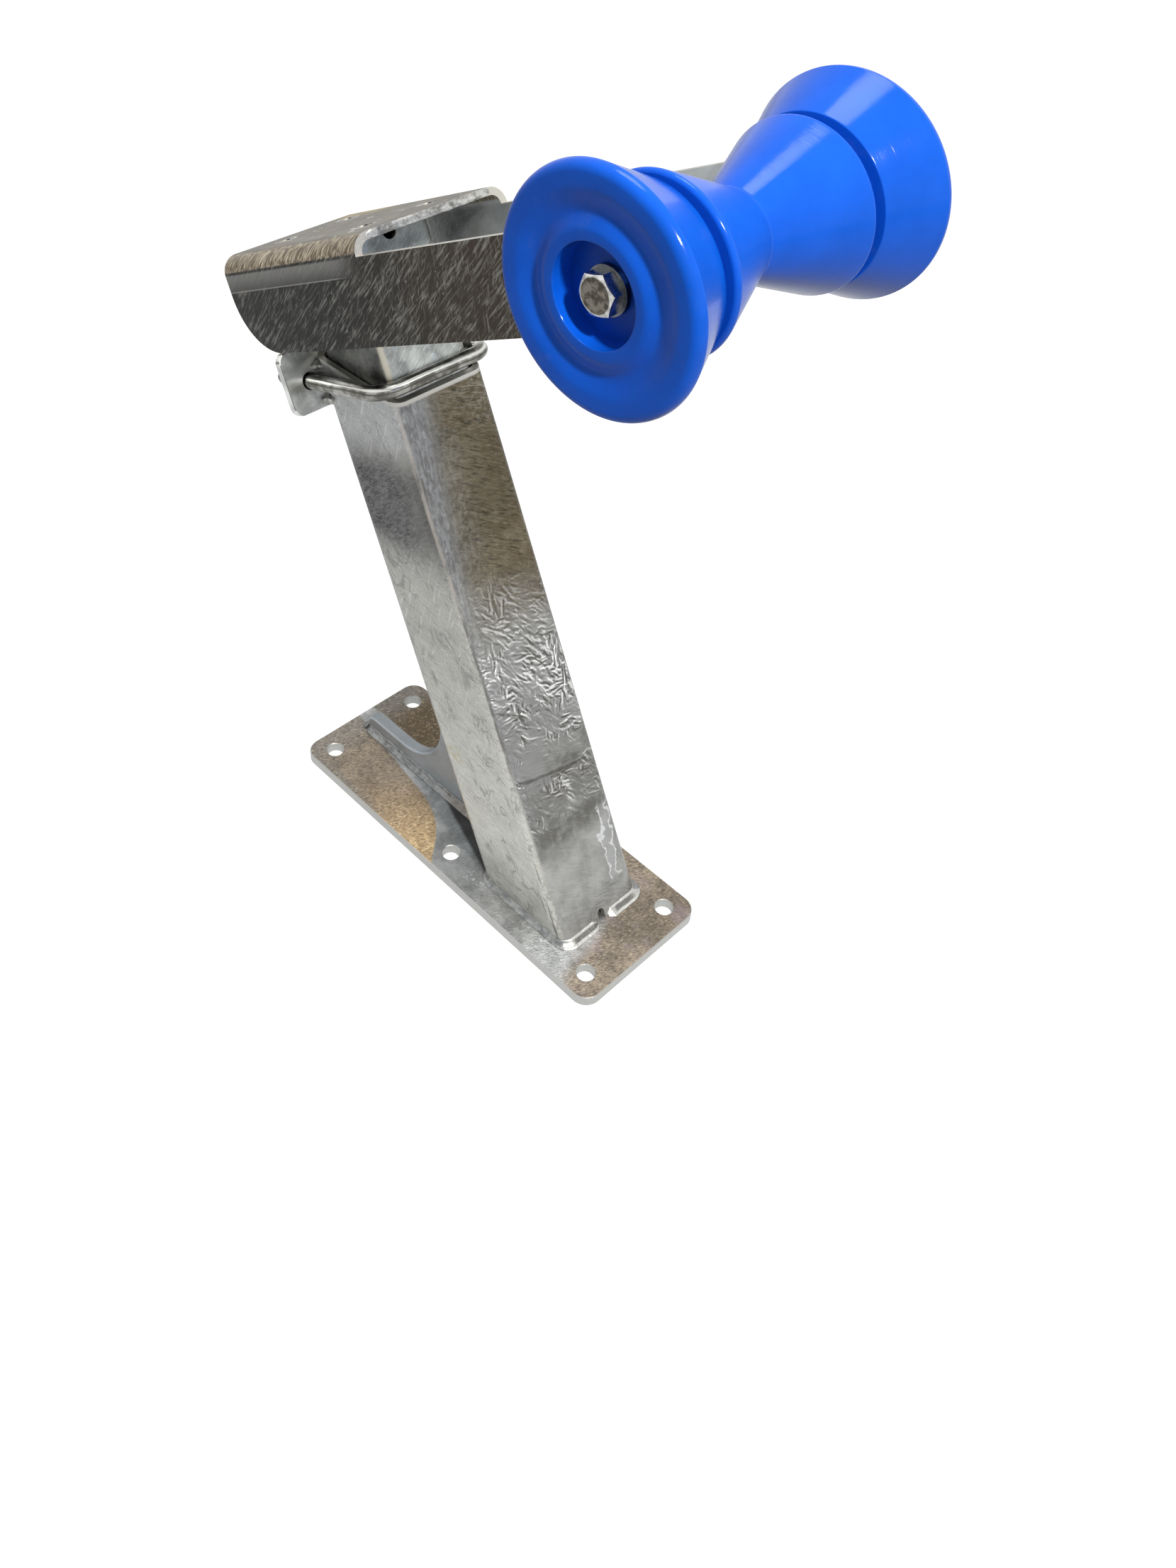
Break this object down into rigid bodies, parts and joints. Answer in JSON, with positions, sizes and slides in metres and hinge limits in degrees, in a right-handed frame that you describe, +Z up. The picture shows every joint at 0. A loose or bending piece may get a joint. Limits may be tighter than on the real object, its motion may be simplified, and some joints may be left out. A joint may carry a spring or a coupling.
{
  "type": "boat trailer winch post",
  "caption": "Leaning square winch post on a drilled base plate, with a height-adjustable clamped head whose fork carries a waisted bow roller between flared bell rollers.",
  "frame": {"origin": "centre of the base plate's underside", "axes": "+Z up, +X along the base plate towards the boat and the rollers, +Y to the left along the rollers' axle"},
  "size_m": [0.4135, 0.1992, 0.6039],
  "materials": {
    "galvanised_steel": "hot-dip galvanised, mottled satin",
    "weld_bead": "galvanised weld bead",
    "zinc_plated_steel": "bright zinc plate",
    "blue_polyurethane": "semi-gloss blue polyurethane",
    "white_nylon": "nylon ring"
  },
  "bodies": {
    "base": {"base_plate": "galvanised_steel", "outer_post": "galvanised_steel", "gusset": "galvanised_steel", "foot_weld": "weld_bead", "gusset_weld": "weld_bead", "clamp_plate": "galvanised_steel", "clamp_plate_weld": "weld_bead", "u_bolt": "zinc_plated_steel", "u_bolt_washers": "zinc_plated_steel", "u_bolt_nuts": "zinc_plated_steel"},
    "head": {"inner_post": "galvanised_steel", "head_channel": "galvanised_steel", "head_weld": "weld_bead", "axle_bolt": "zinc_plated_steel", "left_axle_washer": "zinc_plated_steel", "right_axle_washer": "zinc_plated_steel", "axle_nut": "zinc_plated_steel", "axle_nut_ring": "white_nylon"},
    "bow_roller": {"centre_roller": "blue_polyurethane"},
    "left_bell": {"left_bell_roller": "blue_polyurethane"},
    "right_bell": {"right_bell_roller": "blue_polyurethane"}
  },
  "joints": [
    {"name": "head_slide", "type": "slide", "parent": "base", "child": "head", "axis": [-0.4384, 0, 0.8988], "range_m": [0, 0.15]},
    {"name": "bow_roller_spin", "type": "hinge", "parent": "head", "child": "bow_roller", "pos_m": [0.14615, 0, 0.54442], "axis": [0, 1, 0], "continuous": true},
    {"name": "left_bell_spin", "type": "hinge", "parent": "head", "child": "left_bell", "pos_m": [0.14615, 0, 0.54442], "axis": [0, 1, 0], "continuous": true},
    {"name": "right_bell_spin", "type": "hinge", "parent": "head", "child": "right_bell", "pos_m": [0.14615, 0, 0.54442], "axis": [0, 1, 0], "continuous": true}
  ]
}
